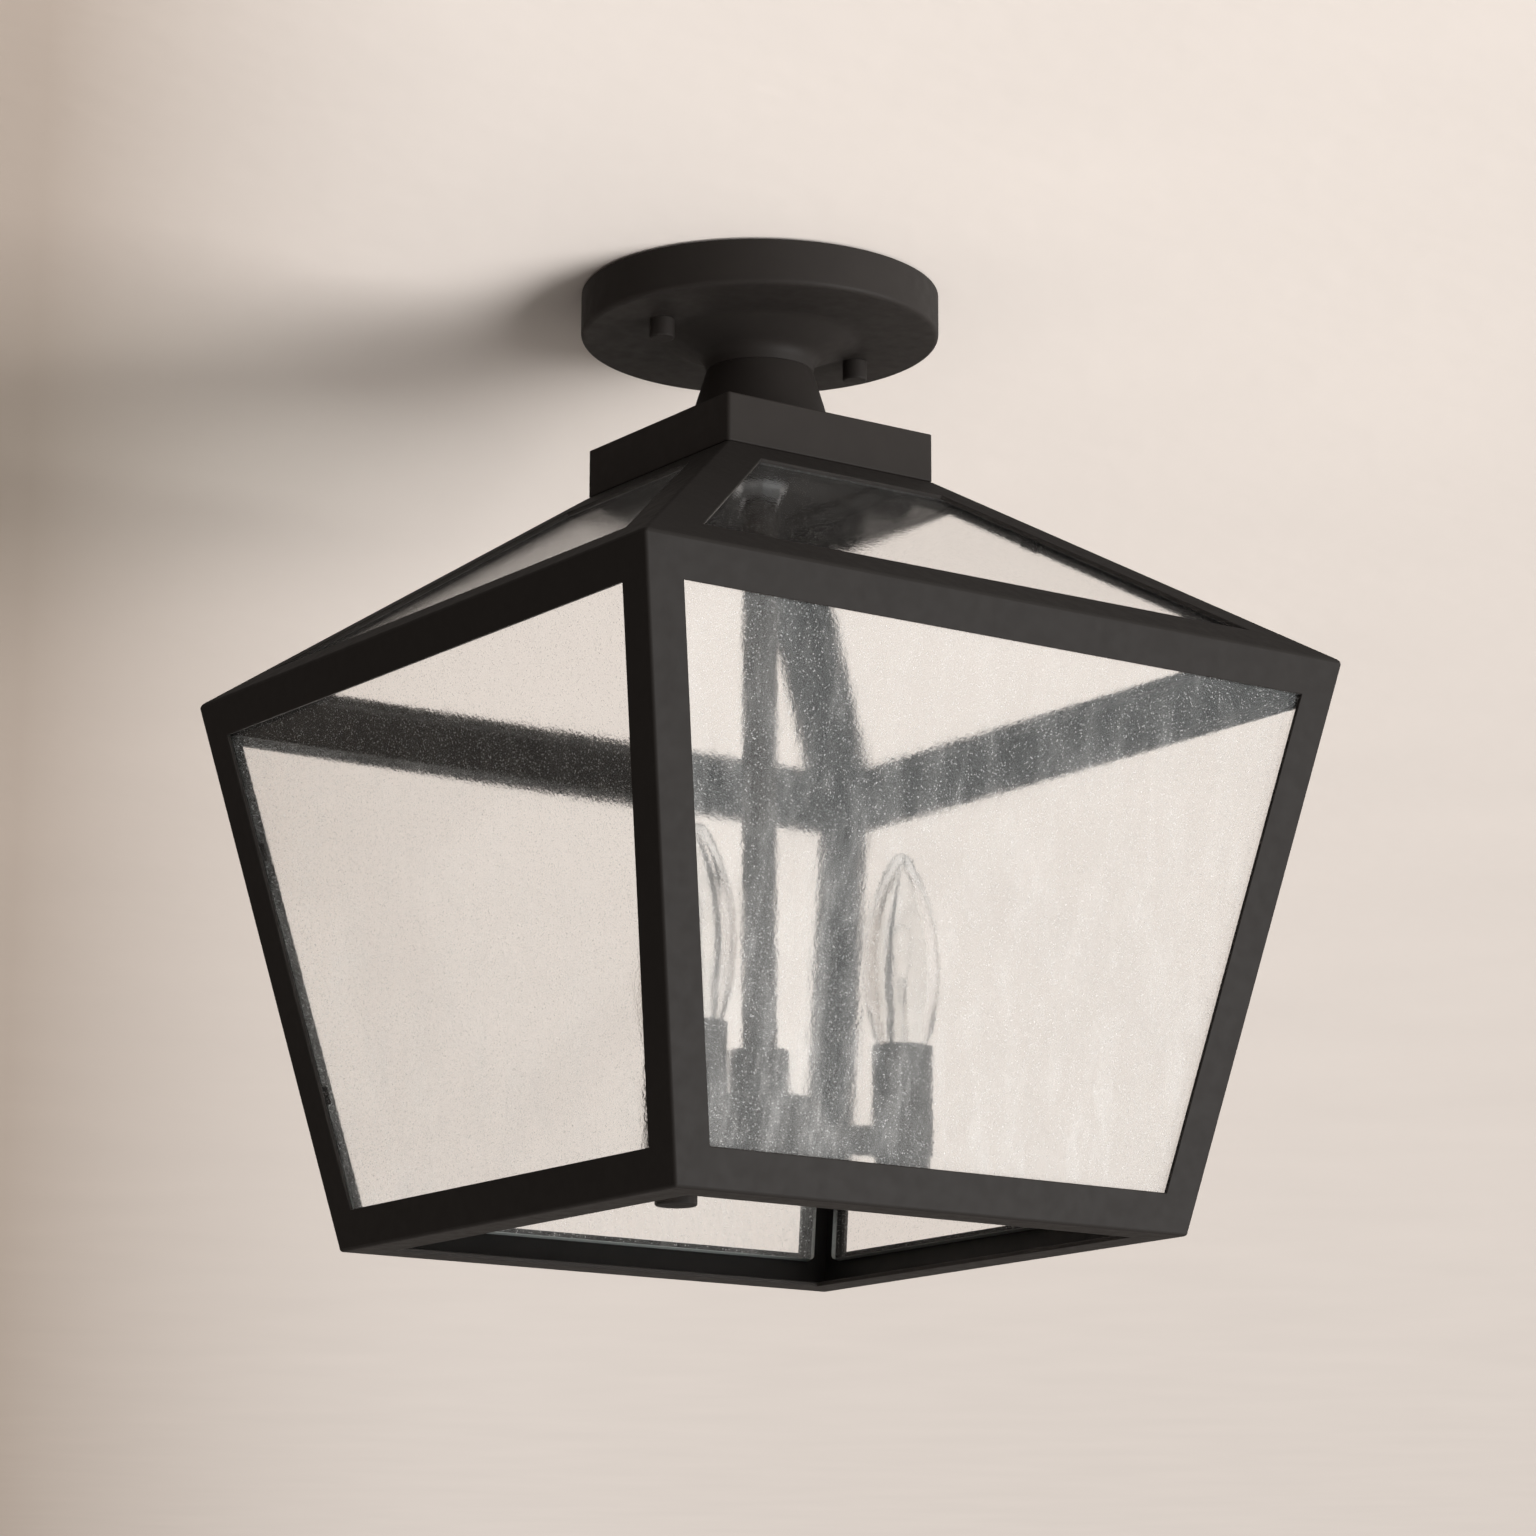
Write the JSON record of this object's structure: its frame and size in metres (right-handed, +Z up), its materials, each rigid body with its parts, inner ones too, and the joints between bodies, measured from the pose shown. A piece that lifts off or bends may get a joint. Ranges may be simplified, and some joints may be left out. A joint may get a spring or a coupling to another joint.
{
  "type": "porch ceiling lantern",
  "caption": "Semi-flush porch ceiling lantern: tapered frame of dark angle bars, seeded glass sides and hipped glass roof, square cap, flared neck, round canopy, candle lamps on a hub.",
  "frame": {"origin": "middle of the canopy's rim in the plane of the ceiling, which is also the middle of the mounting plate's box-screw slots", "axes": "+Z up into the ceiling, -Y front side of the lantern, +X to the right seen from the front; the lantern hangs towards -Z"},
  "size_m": [0.3048, 0.3048, 0.359],
  "materials": {
    "powder_coat": "satin",
    "zinc_plate": "satin",
    "ground_green": "satin",
    "socket_resin": "matte",
    "lamp_brass": "satin",
    "lamp_glass": "gloss",
    "seeded_glass": "gloss"
  },
  "bodies": {
    "lantern": {"mounting_plate": "zinc_plate", "mounting_studs": "zinc_plate", "ground_screw": "ground_green", "canopy": "powder_coat", "neck": "powder_coat", "cap": "powder_coat", "top_plate": "powder_coat", "center_pipe": "zinc_plate", "pipe_washers": "zinc_plate", "pipe_nuts": "zinc_plate", "stem": "powder_coat", "hub_pipe": "zinc_plate", "hub_collar": "powder_coat", "hub_body": "powder_coat", "hub_cover": "powder_coat", "arm_back": "powder_coat", "arm_left": "powder_coat", "arm_right": "powder_coat", "candle_cup_back": "powder_coat", "candle_cup_left": "powder_coat", "candle_cup_right": "powder_coat", "cup_nuts": "powder_coat", "sleeve_back": "powder_coat", "sleeve_left": "powder_coat", "sleeve_right": "powder_coat", "socket_back": "socket_resin", "socket_left": "socket_resin", "socket_right": "socket_resin", "side_glass_front": "seeded_glass", "side_glass_right": "seeded_glass", "side_glass_back": "seeded_glass", "side_glass_left": "seeded_glass", "roof_glass_front": "seeded_glass", "roof_glass_right": "seeded_glass", "roof_glass_back": "seeded_glass", "roof_glass_left": "seeded_glass", "post_front_left": "powder_coat", "post_front_right": "powder_coat", "post_back_right": "powder_coat", "post_back_left": "powder_coat", "hip_front_left": "powder_coat", "hip_front_right": "powder_coat", "hip_back_right": "powder_coat", "hip_back_left": "powder_coat", "shoulder_bars": "powder_coat", "base_bars": "powder_coat", "top_bars": "powder_coat", "glass_clips": "powder_coat"},
    "lamp_back": {"lamp_glass_back": "lamp_glass", "lamp_base_back": "lamp_brass", "lamp_mount_back": "lamp_glass"},
    "lamp_left": {"lamp_glass_left": "lamp_glass", "lamp_base_left": "lamp_brass", "lamp_mount_left": "lamp_glass"},
    "lamp_right": {"lamp_glass_right": "lamp_glass", "lamp_base_right": "lamp_brass", "lamp_mount_right": "lamp_glass"},
    "thumb_nut_left": {"thumb_nut_left": "powder_coat"},
    "thumb_nut_right": {"thumb_nut_right": "powder_coat"}
  },
  "joints": [
    {"name": "lamp_back_unscrew", "type": "slide", "parent": "lantern", "child": "lamp_back", "axis": [0, 0, 1], "range_m": [0, 0.024]},
    {"name": "lamp_left_unscrew", "type": "slide", "parent": "lantern", "child": "lamp_left", "axis": [0, 0, 1], "range_m": [0, 0.024]},
    {"name": "lamp_right_unscrew", "type": "slide", "parent": "lantern", "child": "lamp_right", "axis": [0, 0, 1], "range_m": [0, 0.024]},
    {"name": "thumb_nut_left_unscrew", "type": "slide", "parent": "lantern", "child": "thumb_nut_left", "axis": [0, 0, -1], "range_m": [0, 0.008]},
    {"name": "thumb_nut_right_unscrew", "type": "slide", "parent": "lantern", "child": "thumb_nut_right", "axis": [0, 0, -1], "range_m": [0, 0.008]}
  ]
}
